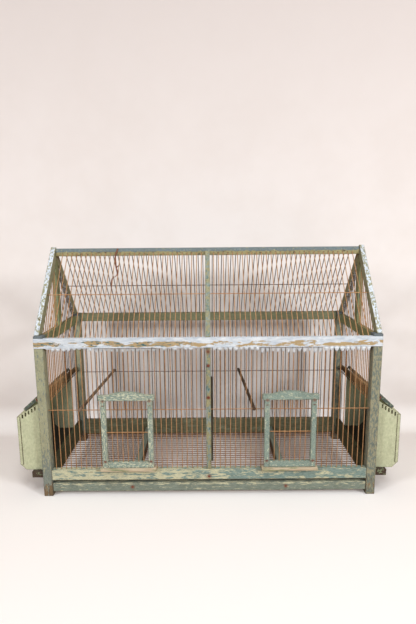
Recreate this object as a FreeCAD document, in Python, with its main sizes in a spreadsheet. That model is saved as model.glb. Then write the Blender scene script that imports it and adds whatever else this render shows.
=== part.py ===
import FreeCAD, Part
import math
import os
import re
import Sketcher

# A gabled bird cage of wood and wire, with two sliding doors and two outside feeders.
# Sizes are in millimetres. X runs to the right seen from the front, Y to the back, Z up.
# The origin is on the ground, in the middle of the four posts.

SIZES = {
    # posts and edges
    "cage_width": 820.0,
    "cage_depth": 332.0,
    "post_size": 22.0,
    "post_height": 407.0,
    "edge_round": 1.0,
    # rails at the eaves
    "eave_rail_top": 401.0,
    "eave_rail_height": 24.0,
    "eave_rail_thickness": 14.0,
    "eave_rail_proud": 1.5,
    "back_inset": 4.0,
    "tie_rail_height": 25.0,
    "end_thickness": 12.5,
    # roof
    "ridge_height": 611.0,
    "rafter_depth": 20.0,
    "king_post_width": 20.0,
    "ridge_width": 14.0,
    "ridge_height_below_peak": 25.5,
    "ridge_peak_drop": 5.0,
    "roof_wire_depth": 7.0,
    "rib_width": 12.0,
    "rib_thickness": 10.0,
    # base
    "front_rail_inset": 1.0,
    "front_rail_thickness": 16.0,
    "bottom_rail_underside": 42.0,
    "bottom_rail_height": 26.5,
    "lower_rail_underside": 12.0,
    "lower_rail_height": 22.0,
    "lower_rail_end_gap": 1.0,
    "back_board_underside": 18.0,
    "back_board_height": 49.0,
    "back_board_thickness": 12.5,
    "end_board_underside": 20.0,
    "end_board_height": 48.0,
    "joist_offset": 190.0,
    "joist_width": 16.0,
    "joist_height": 30.0,
    # centre of the front
    "stile_width": 12.0,
    "stile_thickness": 12.0,
    "batten_width": 13.0,
    "batten_thickness": 8.0,
    "batten_offset": 4.0,
    "batten_foot": 83.0,
    "batten_height": 217.0,
    # wires
    "wire_diameter": 2.0,
    "wire_pitch": 12.5,
    "wire_embed": 8.0,
    "wire_bore_gap": 0.05,
    "wire_end_gap": 0.3,
    "level_wire_step": 1.6,
    "level_wire_embed": 5.0,
    "front_wire_inset": 9.0,
    "back_wire_inset": 10.5,
    "end_wire_inset": 9.5,
    "level_wire_height": 222.0,
    "end_level_wire_height": 230.0,
    "floor_wire_height": 26.0,
    # sliding doors
    "door_clearance": 1.7,
    "door_foot_gap": 0.3,
    "door_thickness": 10.0,
    "door_stile_width": 12.5,
    "door_rail_height": 14.4,
    "door_opening_height": 157.2,
    "door_level_wire_rise": 91.0,
    "crown_shoulder": 13.4,
    "crown_rise": 8.0,
    "crown_span": 90.0,
    "crown_overhang": 5.0,
    "sill_height": 8.2,
    "sill_overhang": 5.5,
    "sill_front_overhang": 3.7,
    "sill_back_overhang": 1.5,
    "staple_wire": 1.2,
    "staple_gap": 0.4,
    "staple_low_rise": 16.0,
    "staple_high_drop": 12.6,
    # perches
    "perch_diameter": 8.0,
    "perch_notch": 2.5,
    "perch_overhang": 9.0,
    # feeders at the two ends
    "hopper_front_inset": 14.0,
    "hopper_back_inset": 70.0,
    "hopper_reach": 58.5,
    "hopper_underside": 64.0,
    "hopper_floor_reach": 45.0,
    "hopper_chamfer_rise": 14.0,
    "hopper_top_rise": 10.0,
    "hopper_top_drop": 37.0,
    "hopper_strip": 25.5,
    "sheet_thickness": 1.2,
    "seam_width": 7.0,
    "slit_width": 3.0,
    "slit_length": 9.0,
    "slit_drop": 3.0,
    "slit_pitch": 8.0,
    "block_reach": 28.0,
    "block_depth": 20.0,
    "block_height": 16.0,
    "block_front_inset": 4.0,
    "hinge_board_thickness": 6.0,
    "hinge_board_front_height": 30.0,
    "hinge_board_back_height": 12.5,
    "lid_thickness": 8.0,
    "lid_width": 46.0,
    "lid_end_overhang": 1.0,
    "lid_rest_reach": 36.0,
    "lid_rest_gap": 0.3,
    "lid_hinge_margin": 3.5,
    "lid_hinge_offset": 6.5,
    "lid_hinge_rise": 18.0,
    "pin_diameter": 3.0,
    "pin_bend": 3.0,
    "pin_bore_gap": 0.05,
    "pin_end_gap": 0.5,
    "pin_embed": 5.0,
    "pin_leg_drop": 13.0,
    # fasteners
    "screw_head_diameter": 6.5,
    "screw_head_height": 2.0,
    "screw_diameter": 3.0,
    "screw_length": 15.0,
    "screw_slot_width": 1.0,
    "screw_slot_depth": 0.9,
    "screw_high_drop": 45.0,
    "screw_spacing": 79.0,
    "nail_head_diameter": 4.5,
    "nail_head_height": 1.0,
    "nail_diameter": 2.0,
    "nail_length": 26.0,
    "tack_length": 11.0,
    "stile_tack_drop": 11.0,
    "rail_tack_rise": 8.0,
    # how far a cutting shape runs past what it cuts
    "cut_overrun": 5.0,
}

# Shares and counts
ROOF_LEVEL_SHARE = 0.485
DOOR_GUIDE_NUMBER = 10
DOOR_GAP_COUNT = 9
SLIT_COUNT = 5
PERCH_FRONT_GAPS = {"left": 23, "right": 7}
PERCH_BACK_GAPS = {"left": 6, "right": 37}
SIDES = {"left": -1, "right": 1}

# Numbers by which a sketch calls the points of a line or an arc
START_POINT = 1
END_POINT = 2
CENTRE_POINT = 3

doc = FreeCAD.newDocument("bird_cage")
sheet = doc.addObject("Spreadsheet::Sheet", "sizes")
for row, (name, amount) in enumerate(SIZES.items(), 1):
    sheet.set(f"A{row}", str(amount))
    sheet.setAlias(f"A{row}", name)
doc.recompute()

probe = doc.addObject("App::FeaturePython", "probe")
probe.addProperty("App::PropertyFloat", "reading")
nodes = {}


def bind(thing, prop, formula):
    """Ties a property to a formula in the sheet's sizes."""
    names = re.sub(r"[a-z_]+", lambda m: "sizes." + m[0] if m[0] in SIZES else m[0], formula)
    thing.setExpression(prop, names)


def value(formula):
    """The number that a formula in the sheet's sizes comes to."""
    bind(probe, "reading", formula)
    probe.recompute()
    return probe.reading


def vector(x, y, z):
    return FreeCAD.Vector(x, y, z)


def signed(side, formula):
    """The formula with the sign of its side: minus is left or front, plus is right or back."""
    return f"({formula})" if side > 0 else f"(-({formula}))"


# Planes and heights that several pieces share
half_width = "(cage_width / 2)"
half_depth = "(cage_depth / 2)"
bay_edge = "(cage_width / 2 - post_size)"
side_bay_edge = "(cage_depth / 2 - post_size)"
eave_underside = "(eave_rail_top - eave_rail_height)"
back_rail_underside = "(post_height - eave_rail_height)"
tie_underside = "(eave_rail_top - tie_rail_height)"
rail_front = "(front_rail_inset - cage_depth / 2)"
rail_back = f"({rail_front} + front_rail_thickness)"
bottom_rail_top = "(bottom_rail_underside + bottom_rail_height)"
back_board_top = "(back_board_underside + back_board_height)"
back_board_front = "(cage_depth / 2 - back_inset - back_board_thickness)"
end_board_top = "(end_board_underside + end_board_height)"
end_inner = "(cage_width / 2 - end_thickness)"
front_wire_y = "(front_wire_inset - cage_depth / 2)"
back_wire_y = "(cage_depth / 2 - back_wire_inset)"
end_wire_x = "(cage_width / 2 - end_wire_inset)"
roof_slope = "((ridge_height - eave_rail_top) * 2 / cage_depth)"
slant = f"sqrt(1 + {roof_slope}^2)"
sill_top = f"({bottom_rail_top} + sill_height)"
door_foot = f"({sill_top} + door_foot_gap)"
door_back = f"({front_wire_y} - level_wire_step - wire_diameter / 2 - door_clearance)"
door_front = f"({door_back} - door_thickness)"
crown_underside = f"({door_foot} + door_rail_height + door_opening_height)"
hopper_front = "(hopper_front_inset - cage_depth / 2)"
hopper_back = "(cage_depth / 2 - hopper_back_inset)"
hopper_length = "(cage_depth - hopper_front_inset - hopper_back_inset)"
hopper_wall_top = "(end_level_wire_height + hopper_top_rise)"
hinge_height = "(end_level_wire_height + lid_hinge_rise)"
hinge_reach = "(cage_width / 2 + lid_hinge_offset)"


def roof_height(reach, depth):
    """Height of a line that lies a depth below the roof, at a reach from the ridge."""
    return f"(ridge_height - {roof_slope} * ({reach}) - ({depth}) * {slant})"


def roof_reach(height, depth):
    """Reach from the ridge at which that line comes down to a height."""
    return f"((ridge_height - ({height}) - ({depth}) * {slant}) / {roof_slope})"


def timber(label, low, span):
    """A plank with rounded edges: formulas for its low corner and its length, width and height."""
    body = doc.addObject("PartDesign::Body", label)
    blank = body.newObject("PartDesign::AdditiveBox", label + "_blank")
    for prop, formula in zip(("Length", "Width", "Height"), span):
        bind(blank, prop, formula)
    soften(body, blank, label)
    for axis, formula in zip("xyz", low):
        bind(body, f"Placement.Base.{axis}", formula)
    nodes[label] = body


def soften(body, blank, label):
    """Rounds all the edges of a body's last shape."""
    doc.recompute()
    rounding = body.newObject("PartDesign::Fillet", label + "_rounding")
    rounding.Base = (blank, [f"Edge{i + 1}" for i in range(len(blank.Shape.Edges))])
    bind(rounding, "Radius", "edge_round")


def outline_pad(body, label, plane, points, depth):
    """Pads an outline to both sides of one of the body's planes.

    Its points are pairs of formulas. A third formula is the height of the centre of the arc
    that leads on from that point, anticlockwise.
    """
    sketch = body.newObject("Sketcher::SketchObject", label + "_outline")
    support = [f for f in body.Origin.OriginFeatures if f.Role == plane][0]
    sketch.AttachmentSupport = (support, "")
    sketch.MapMode = "FlatFace"
    count = len(points)
    corners = [vector(value(across), value(up), 0) for across, up, *_ in points]
    for i, (_, _, *arc_height) in enumerate(points):
        start = corners[i]
        end = corners[(i + 1) % count]
        if arc_height:
            centre = vector((start.x + end.x) / 2, value(arc_height[0]), 0)
            crest = centre + vector(0, (start - centre).Length, 0)
            sketch.addGeometry(Part.ArcOfCircle(start, crest, end))
            fix(sketch, "DistanceY", i, CENTRE_POINT, centre.y, arc_height[0])
        else:
            sketch.addGeometry(Part.LineSegment(start, end))
    for i, (across, up, *_) in enumerate(points):
        sketch.addConstraint(Sketcher.Constraint("Coincident", i, END_POINT, (i + 1) % count, START_POINT))
        fix(sketch, "DistanceX", i, START_POINT, corners[i].x, across)
        fix(sketch, "DistanceY", i, START_POINT, corners[i].y, up)
    pad = body.newObject("PartDesign::Pad", label + "_pad")
    pad.Profile = sketch
    pad.Midplane = True
    bind(pad, "Length", depth)
    return pad


def fix(sketch, kind, number, point, start, formula):
    """Ties one coordinate of a sketch point, measured from the origin, to a formula."""
    constraint = sketch.addConstraint(Sketcher.Constraint(kind, -1, START_POINT, number, point, start))
    bind(sketch, f"Constraints[{constraint}]", formula)


def shaped_timber(label, plane, points, depth, place):
    """A rounded piece with its own outline, given in the plane through its place."""
    body = doc.addObject("PartDesign::Body", label)
    pad = outline_pad(body, label, plane, points, depth)
    soften(body, pad, label)
    for axis, formula in zip("xyz", place):
        bind(body, f"Placement.Base.{axis}", formula)
    nodes[label] = body


def rod(start, end, radius):
    return Part.makeCylinder(radius, (end - start).Length, start, end - start)


def longer(start, end, extra):
    """The same line, run on by an extra length at both ends."""
    step = (end - start).normalize() * extra
    return start - step, end + step


def feature(label, shapes):
    """A named shape made of separate solids."""
    thing = doc.addObject("Part::Feature", label)
    thing.Shape = Part.makeCompound(shapes) if len(shapes) > 1 else shapes[0]
    return thing


def bores(label, lines, radius, end_gap):
    """The holes in which a set of rods sits."""
    return feature(label, [rod(*longer(start, end, end_gap), radius) for start, end in lines])


def cut(label, *tools):
    """Cuts a node with each tool in turn; the result takes the node's name."""
    for tool in tools:
        piece = doc.addObject("Part::Cut", label + "_cut")
        piece.Base = nodes[label]
        piece.Tool = tool
        nodes[label] = piece
    doc.recompute()


def grille(uprights, level):
    """Upright wires joined to one level wire."""
    radius = value("wire_diameter / 2")
    joined = rod(*level, radius).fuse([rod(*line, radius) for line in uprights])
    return joined.Solids[0]


def spread(low, high):
    """Places of the wires between two edges, evenly at the pitch and centred."""
    pitch = value("wire_pitch")
    count = math.floor((high - low - value("wire_diameter")) / pitch)
    first = (low + high - (count - 1) * pitch) / 2
    return [first + i * pitch for i in range(count)]


# Four posts
for side_name, side in SIDES.items():
    for depth_name, depth in (("front", -1), ("back", 1)):
        low_x = half_width if side < 0 else bay_edge
        low_y = half_depth if depth < 0 else side_bay_edge
        timber(f"{depth_name}_{side_name}_post",
               (signed(side, low_x), signed(depth, low_y), "0"),
               ("post_size", "post_size", "post_height"))

# Rails at the eaves
timber("front_eave_rail",
       (signed(-1, half_width), f"-{half_depth} - eave_rail_proud", eave_underside),
       ("cage_width", "eave_rail_thickness", "eave_rail_height"))
timber("back_eave_rail",
       (signed(-1, bay_edge), f"{half_depth} - back_inset - eave_rail_thickness", back_rail_underside),
       (f"2 * {bay_edge}", "eave_rail_thickness", "eave_rail_height"))
for side_name, side in SIDES.items():
    low_x = signed(side, half_width if side < 0 else end_inner)
    timber(f"{side_name}_tie_rail", (low_x, signed(-1, side_bay_edge), tie_underside),
           ("end_thickness", f"2 * {side_bay_edge}", "tie_rail_height"))

# Roof: rafters, king posts, ridge beam and the rib in the middle of the front slope
for side_name, side in SIDES.items():
    middle = (signed(side, f"{half_width} - end_thickness / 2"), "0", "0")
    for depth_name, depth in (("front", -1), ("back", 1)):
        shaped_timber(f"{depth_name}_{side_name}_rafter", "YZ_Plane",
                      [(signed(depth, roof_reach("post_height", "0")), "post_height"),
                       (signed(depth, roof_reach("post_height", "rafter_depth")), "post_height"),
                       ("0", roof_height("0", "rafter_depth")),
                       ("0", "ridge_height")],
                      "end_thickness", middle)
    shoulder = roof_height("king_post_width / 2", "rafter_depth")
    shaped_timber(f"{side_name}_king_post", "YZ_Plane",
                  [("-king_post_width / 2", "eave_rail_top"),
                   ("king_post_width / 2", "eave_rail_top"),
                   ("king_post_width / 2", shoulder),
                   ("0", roof_height("0", "rafter_depth")),
                   ("-king_post_width / 2", shoulder)],
                  "end_thickness", middle)
ridge_shoulder = f"ridge_height - ridge_peak_drop - {roof_slope} * ridge_width / 2"
shaped_timber("ridge_beam", "YZ_Plane",
              [("-ridge_width / 2", "ridge_height - ridge_height_below_peak"),
               ("ridge_width / 2", "ridge_height - ridge_height_below_peak"),
               ("ridge_width / 2", ridge_shoulder),
               ("0", "ridge_height - ridge_peak_drop"),
               ("-ridge_width / 2", ridge_shoulder)],
              f"2 * {end_inner}", ("0", "0", "0"))
rib_top = "roof_wire_depth - rib_thickness / 2"
rib_under = "roof_wire_depth + rib_thickness / 2"
shaped_timber("front_roof_rib", "YZ_Plane",
              [(signed(-1, roof_reach("eave_rail_top", rib_top)), "eave_rail_top"),
               (signed(-1, roof_reach("eave_rail_top", rib_under)), "eave_rail_top"),
               ("-ridge_width / 2", roof_height("ridge_width / 2", rib_under)),
               ("-ridge_width / 2", roof_height("ridge_width / 2", rib_top))],
              "rib_width", ("0", "0", "0"))

# Base: two front rails, back board, end boards and the joists that carry the floor wires
timber("front_bottom_rail", (signed(-1, bay_edge), rail_front, "bottom_rail_underside"),
       (f"2 * {bay_edge}", "front_rail_thickness", "bottom_rail_height"))
timber("front_lower_rail",
       (signed(-1, f"{bay_edge} - lower_rail_end_gap"), rail_front, "lower_rail_underside"),
       (f"2 * ({bay_edge} - lower_rail_end_gap)", "front_rail_thickness", "lower_rail_height"))
timber("back_bottom_board", (signed(-1, bay_edge), back_board_front, "back_board_underside"),
       (f"2 * {bay_edge}", "back_board_thickness", "back_board_height"))
for side_name, side in SIDES.items():
    low_x = signed(side, half_width if side < 0 else end_inner)
    timber(f"{side_name}_end_board", (low_x, signed(-1, side_bay_edge), "end_board_underside"),
           ("end_thickness", f"2 * {side_bay_edge}", "end_board_height"))
    timber(f"{side_name}_floor_joist",
           (signed(side, "joist_offset") + " - joist_width / 2", rail_back, "lower_rail_underside"),
           ("joist_width", f"{back_board_front} - {rail_back}", "joist_height"))

# Centre of the front: the stile between the two bays and the batten behind it
timber("front_centre_stile",
       ("-stile_width / 2", f"{front_wire_y} - stile_thickness / 2", bottom_rail_top),
       ("stile_width", "stile_thickness", f"{eave_underside} - {bottom_rail_top}"))
timber("divider_batten",
       ("batten_offset - batten_width / 2", f"{front_wire_y} + stile_thickness / 2", "batten_foot"),
       ("batten_width", "batten_thickness", "batten_height"))

# The front posts are notched for the eave rail
notch = doc.addObject("Part::Box", "eave_rail_notch")
bind(notch, "Length", "cage_width + 2 * cut_overrun")
bind(notch, "Width", "eave_rail_thickness + cut_overrun")
bind(notch, "Height", "eave_rail_height")
bind(notch, "Placement.Base.x", f"-{half_width} - cut_overrun")
bind(notch, "Placement.Base.y", f"-{half_depth} - eave_rail_proud - cut_overrun")
bind(notch, "Placement.Base.z", eave_underside)
cut("front_left_post", notch)
cut("front_right_post", notch)

# Numbers that the wires are laid out with
wire_radius = value("wire_diameter / 2")
wire_bore = value("wire_diameter / 2 + wire_bore_gap")
wire_end_gap = value("wire_end_gap")
embed = value("wire_embed")
level_embed = value("level_wire_embed")
level_step = value("level_wire_step")
pitch = value("wire_pitch")
post_edge = value(bay_edge)
stile_edge = value("stile_width / 2")
front_y = value(front_wire_y)
back_y = value(back_wire_y)
level_z = value("level_wire_height")
front_places = spread(stile_edge, post_edge)
back_places = spread(-post_edge, post_edge)
guides = (DOOR_GUIDE_NUMBER, DOOR_GUIDE_NUMBER + DOOR_GAP_COUNT)


def front_wall():
    """Front wires: in each bay an inner, an over-door and an outer panel, so the doorway is open."""
    foot = value(bottom_rail_top) - embed
    top = value(eave_underside) + embed
    low_x = front_places[guides[0]] + wire_radius
    high_x = front_places[guides[1]] - wire_radius
    panels = []
    uprights = []
    levels = []
    for side in SIDES.values():
        spans = ((stile_edge - level_embed, low_x), (low_x, high_x), (high_x, post_edge + embed))
        groups = (front_places[:guides[0] + 1],
                  front_places[guides[0] + 1:guides[1]],
                  front_places[guides[1]:])
        feet = (foot, level_z, foot)
        for span, group, low in zip(spans, groups, feet):
            level = [vector(side * x, front_y - level_step, level_z) for x in span]
            lines = [(vector(side * x, front_y, low), vector(side * x, front_y, top)) for x in group]
            panels.append(grille(lines, level))
            uprights += lines
            levels.append(level)
    nodes["front_wires"] = feature("front_wires", panels)
    return uprights, [(levels[2][1], levels[0][0]), (levels[3][0], levels[5][1])]


def back_wall():
    """Back wires from the board to the eave rail, with one level wire on the inside."""
    foot = value(back_board_top) - embed
    top = value(back_rail_underside) + embed
    lines = [(vector(x, back_y, foot), vector(x, back_y, top)) for x in back_places]
    reach = post_edge + embed
    level = [vector(x, back_y - level_step, level_z) for x in (-reach, reach)]
    nodes["back_wires"] = feature("back_wires", [grille(lines, level)])
    return lines, [level]


def end_wall(side_name, side):
    """End wires: over the feeder they stop at the level wire, behind it they reach the end board."""
    x = side * value(end_wire_x)
    edge = value(side_bay_edge)
    level_x = x - side * level_step
    level_height = value("end_level_wire_height")
    foot = value(end_board_top) - embed
    behind = value(hopper_back) + wire_radius
    places = spread(-edge, edge)
    groups = ([y for y in places if y < behind], [y for y in places if y >= behind])
    meeting = max(groups[0]) + wire_radius
    spans = ((-edge - embed, meeting), (meeting, edge + embed))
    panels = []
    uprights = []
    levels = []
    for group, span, low in zip(groups, spans, (level_height, foot)):
        lines = [(vector(x, y, low), vector(x, y, end_wire_top(abs(y)))) for y in group]
        level = [vector(level_x, y, level_height) for y in span]
        panels.append(grille(lines, level))
        uprights += lines
        levels.append(level)
    nodes[f"{side_name}_end_wires"] = feature(f"{side_name}_end_wires", panels)
    return uprights, [(levels[0][0], levels[1][1])]


def end_wire_top(reach):
    """An end wire runs up into the rafter, or into the tie rail where the king post stands."""
    if reach < value("king_post_width / 2 + wire_diameter"):
        return value(tie_underside) + embed
    under_rafter = value(roof_height(str(reach), "rafter_depth"))
    return max(under_rafter, value("post_height")) + level_embed


def roof_slope_wires(name, side, places, foot_height):
    """Wires of one roof slope, from the eave rail to the ridge, and the level wire over them."""
    foot = vector(0, side * value(roof_reach(foot_height, "roof_wire_depth")), value(foot_height))
    top = vector(0, side * value("ridge_width / 2"), value(roof_height("ridge_width / 2", "roof_wire_depth")))
    along = (top - foot).normalize()
    outward = vector(0, side * along.z, -side * along.y)
    start = foot - along * embed
    end = top + along * level_embed
    lines = [(start + vector(x, 0, 0), end + vector(x, 0, 0)) for x in places]
    middle = foot + (top - foot) * ROOF_LEVEL_SHARE + outward * level_step
    reach = vector(value(end_inner) + level_embed, 0, 0)
    level = (middle - reach, middle + reach)
    nodes[name] = feature(name, [grille(lines, level)])
    return lines, [level]


def floor():
    """Floor wires, side by side along the cage, from end board to end board through the joists."""
    reach = value(end_inner) + embed
    height = value("floor_wire_height")
    places = spread(value(rail_back), value(back_board_front))
    lines = [(vector(-reach, y, height), vector(reach, y, height)) for y in places]
    nodes["floor_wires"] = feature("floor_wires", [rod(*line, wire_radius) for line in lines])
    return lines


# Wire panels and the holes that they sit in
both_front = [-x for x in front_places] + front_places
front_lines, front_levels = front_wall()
back_lines, back_levels = back_wall()
front_roof_lines, front_roof_levels = roof_slope_wires("front_roof_wires", -1, both_front, "eave_rail_top")
back_roof_lines, back_roof_levels = roof_slope_wires("back_roof_wires", 1, back_places, "post_height")
floor_lines = floor()
front_bores = bores("front_bores", front_lines, wire_bore, wire_end_gap)
back_bores = bores("back_bores", back_lines, wire_bore, wire_end_gap)
front_roof_bores = bores("front_roof_bores", front_roof_lines, wire_bore, wire_end_gap)
back_roof_bores = bores("back_roof_bores", back_roof_lines, wire_bore, wire_end_gap)
floor_bores = bores("floor_bores", floor_lines, wire_bore, wire_end_gap)
front_level_bores = bores("front_level_bores", front_levels, wire_bore, wire_end_gap)
back_level_bores = bores("back_level_bores", back_levels, wire_bore, wire_end_gap)
roof_level_bores = bores("roof_level_bores", front_roof_levels + back_roof_levels, wire_bore, wire_end_gap)
cut("front_eave_rail", front_bores, front_roof_bores)
cut("front_bottom_rail", front_bores)
cut("back_eave_rail", back_bores, back_roof_bores)
cut("back_bottom_board", back_bores)
cut("ridge_beam", front_roof_bores, back_roof_bores)
cut("front_roof_rib", roof_level_bores)
cut("front_centre_stile", front_level_bores)
for side_name, side in SIDES.items():
    end_lines, end_levels = end_wall(side_name, side)
    end_bores = bores(f"{side_name}_end_bores", end_lines, wire_bore, wire_end_gap)
    end_level_bores = bores(f"{side_name}_end_level_bores", end_levels, wire_bore, wire_end_gap)
    cut(f"{side_name}_tie_rail", end_bores)
    cut(f"{side_name}_end_board", end_bores, floor_bores)
    cut(f"{side_name}_floor_joist", floor_bores)
    cut(f"front_{side_name}_post", front_level_bores, end_level_bores)
    cut(f"back_{side_name}_post", back_level_bores, end_level_bores)
    cut(f"front_{side_name}_rafter", end_bores, roof_level_bores)
    cut(f"back_{side_name}_rafter", end_bores, roof_level_bores)


def door_crown(label, middle):
    """Top rail of a door: square shoulders and a low arch between them."""
    half = f"({door_half} + crown_overhang)"
    arch_radius = "((crown_span^2 / 4 + crown_rise^2) / (2 * crown_rise))"
    shaped_timber(label, "XZ_Plane",
                  [(signed(-1, half), "0"),
                   (half, "0"),
                   (half, "crown_shoulder"),
                   ("crown_span / 2", "crown_shoulder", f"crown_shoulder + crown_rise - {arch_radius}"),
                   ("-crown_span / 2", "crown_shoulder"),
                   (signed(-1, half), "crown_shoulder")],
                  "door_thickness", (middle, f"{door_back} - door_thickness / 2", crown_underside))


def staple(guide_x, height):
    """A wire loop through a door stile and round the guide wire behind it."""
    gauge = value("staple_wire")
    front = value(door_front)
    inner = value("wire_diameter / 2 + staple_gap")
    outer = inner + gauge
    rings = []
    for radius, face in ((outer, front - gauge), (inner, front)):
        corners = [vector(guide_x - radius, front_y, height), vector(guide_x - radius, face, height),
                   vector(guide_x + radius, face, height), vector(guide_x + radius, front_y, height)]
        edges = [Part.makeLine(a, b) for a, b in zip(corners, corners[1:])]
        edges.append(Part.Arc(corners[-1], vector(guide_x, front_y + radius, height), corners[0]).toShape())
        rings.append(Part.Face(Part.Wire(edges)).extrude(vector(0, 0, gauge)))
    return rings[0].cut(rings[1]).Solids[0]


# Sliding doors: each rides on two of the front wires and stands on its sill
door_half = f"(wire_pitch * {DOOR_GAP_COUNT} / 2 + door_stile_width / 2)"
first_wire = f"(stile_width / 2 + {bay_edge} - wire_pitch * {len(front_places) - 1}) / 2"
for side_name, side in SIDES.items():
    edges = [side * front_places[number] for number in guides]
    middle = signed(side, f"{first_wire} + wire_pitch * {sum(guides)} / 2")
    centre = value(middle)
    timber(f"{side_name}_door_sill",
           (f"{middle} - {door_half} - sill_overhang",
            f"{door_front} - sill_front_overhang",
            bottom_rail_top),
           (f"2 * ({door_half} + sill_overhang)",
            "door_thickness + sill_front_overhang + sill_back_overhang", "sill_height"))
    stile_names = (f"{side_name}_door_left_stile", f"{side_name}_door_right_stile")
    for name, step in zip(stile_names, (-1, 1)):
        timber(name,
               (f"{middle} + {step} * wire_pitch * {DOOR_GAP_COUNT} / 2 - door_stile_width / 2",
                door_front, door_foot),
               ("door_stile_width", "door_thickness", f"{crown_underside} - {door_foot}"))
    rail_name = f"{side_name}_door_bottom_rail"
    timber(rail_name, (f"{middle} - {door_half} + door_stile_width", door_front, door_foot),
           (f"2 * ({door_half} - door_stile_width)", "door_thickness", "door_rail_height"))
    crown_name = f"{side_name}_door_crown"
    door_crown(crown_name, middle)

    door_y = value(f"{door_back} - door_thickness / 2")
    foot = value(f"{door_foot} + door_rail_height - level_wire_embed")
    top = value(f"{crown_underside} + level_wire_embed")
    inner_half = value(f"{door_half} - door_stile_width")
    places = spread(centre - inner_half, centre + inner_half)
    lines = [(vector(x, door_y, foot), vector(x, door_y, top)) for x in places]
    reach = inner_half + level_embed
    height = value(f"{door_foot} + door_level_wire_rise")
    level = [vector(x, door_y - level_step, height) for x in (centre - reach, centre + reach)]
    wires_name = f"{side_name}_door_wires"
    nodes[wires_name] = feature(wires_name, [grille(lines, level)])
    door_bores = bores(f"{side_name}_door_bores", lines, wire_bore, wire_end_gap)
    door_level_bores = bores(f"{side_name}_door_level_bores", [level], wire_bore, wire_end_gap)

    heights = (value(f"{door_foot} + staple_low_rise"), value(f"{crown_underside} - staple_high_drop"))
    staples_name = f"{side_name}_door_staples"
    loops = [staple(x, z) for x in edges for z in heights]
    nodes[staples_name] = feature(staples_name, loops)
    cut(crown_name, door_bores)
    cut(rail_name, door_bores)
    for name in stile_names:
        cut(name, door_level_bores, nodes[staples_name])

# Perches: dowels notched over the level wires of the front and the back
for side_name, side in SIDES.items():
    front_x = side * (front_places[PERCH_FRONT_GAPS[side_name]] + pitch / 2)
    back_x = back_places[PERCH_BACK_GAPS[side_name]] + pitch / 2
    radius = value("perch_diameter / 2")
    height = level_z + wire_radius + radius - value("perch_notch")
    line = longer(vector(front_x, front_y, height), vector(back_x, back_y, height), value("perch_overhang"))
    dowel = doc.addObject("Part::Cylinder", f"{side_name}_perch")
    bind(dowel, "Radius", "perch_diameter / 2")
    dowel.Height = (line[1] - line[0]).Length
    dowel.Placement = FreeCAD.Placement(line[0], FreeCAD.Rotation(vector(0, 0, 1), line[1] - line[0]))
    nodes[f"{side_name}_perch"] = dowel
    notches = []
    for x, y in ((front_x, front_y - level_step), (back_x, back_y - level_step)):
        corner = vector(x - 2 * radius, y - wire_bore, level_z - 2 * radius)
        notches.append(Part.makeBox(4 * radius, 2 * wire_bore, 2 * radius + wire_radius, corner))
    cut(f"{side_name}_perch", feature(f"{side_name}_perch_notches", notches))


def hopper_box(side_name, side):
    """Sheet metal feeder box, open to the cage and under its lid, with a seam at each outer edge."""
    label = f"{side_name}_hopper_box"
    body = doc.addObject("PartDesign::Body", label)
    wall = signed(side, half_width)
    outer = signed(side, f"{half_width} + hopper_reach")
    pad = outline_pad(body, label, "XZ_Plane",
                      [(wall, "hopper_underside"),
                       (signed(side, f"{half_width} + hopper_floor_reach"), "hopper_underside"),
                       (outer, hopper_seam_foot),
                       (outer, hopper_outer_top),
                       (wall, hopper_wall_top)],
                      hopper_length)
    doc.recompute()
    open_faces = []
    for number, face in enumerate(pad.Shape.Faces, 1):
        normal = face.normalAt(0, 0)
        towards_cage = normal.x * side < 0 and normal.z == 0
        if towards_cage or (normal.x * side > 0 and normal.z > 0):
            open_faces.append(f"Face{number}")
    shell = body.newObject("PartDesign::Thickness", label + "_shell")
    shell.Base = (pad, open_faces)
    bind(shell, "Value", "sheet_thickness")
    shell.Reversed = True
    shell.Join = "Intersection"
    inner = signed(side, f"{half_width} + hopper_reach - hopper_strip")
    inner_top = f"({hopper_outer_top} + hopper_strip * {hopper_slope})"
    outline_pad(body, label + "_strip", "XZ_Plane",
                [(inner, f"{inner_top} - {strip_depth}"),
                 (outer, f"{hopper_outer_top} - {strip_depth}"),
                 (outer, hopper_outer_top),
                 (inner, inner_top)],
                hopper_length)
    for end_name, end in (("front", -1), ("back", 1)):
        seam = body.newObject("PartDesign::AdditiveBox", f"{label}_{end_name}_seam")
        bind(seam, "Length", "seam_width")
        bind(seam, "Width", "sheet_thickness")
        bind(seam, "Height", f"{hopper_outer_top} - {hopper_seam_foot}")
        low_x = f"{half_width} + hopper_reach" + ("" if side < 0 else " - seam_width")
        low_y = f"{hopper_length} / 2" + (" + sheet_thickness" if end < 0 else "")
        bind(seam, "Placement.Base.x", signed(side, low_x))
        bind(seam, "Placement.Base.y", signed(end, low_y))
        bind(seam, "Placement.Base.z", hopper_seam_foot)
    bind(body, "Placement.Base.y", f"({hopper_front} + {hopper_back}) / 2")
    nodes[label] = body
    return label


def hopper_slits(side_name, side):
    """Row of slits through both end plates, a little under their sloping edges."""
    width = value("slit_width")
    slope = value(hopper_slope)
    overrun = value("cut_overrun")
    first = value("hopper_reach / 2") - value("slit_pitch") * (SLIT_COUNT - 1) / 2
    slits = []
    for i in range(SLIT_COUNT):
        reach = first + i * value("slit_pitch")
        low_z = value(hopper_wall_top) - slope * reach - value("slit_drop + slit_length")
        corner = vector(side * (value(half_width) + reach) - width / 2, value(hopper_front) - overrun, low_z)
        slits.append(Part.makeBox(width, value(hopper_length) + 2 * overrun, value("slit_length"), corner))
    return feature(f"{side_name}_hopper_slits", slits)


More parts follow.
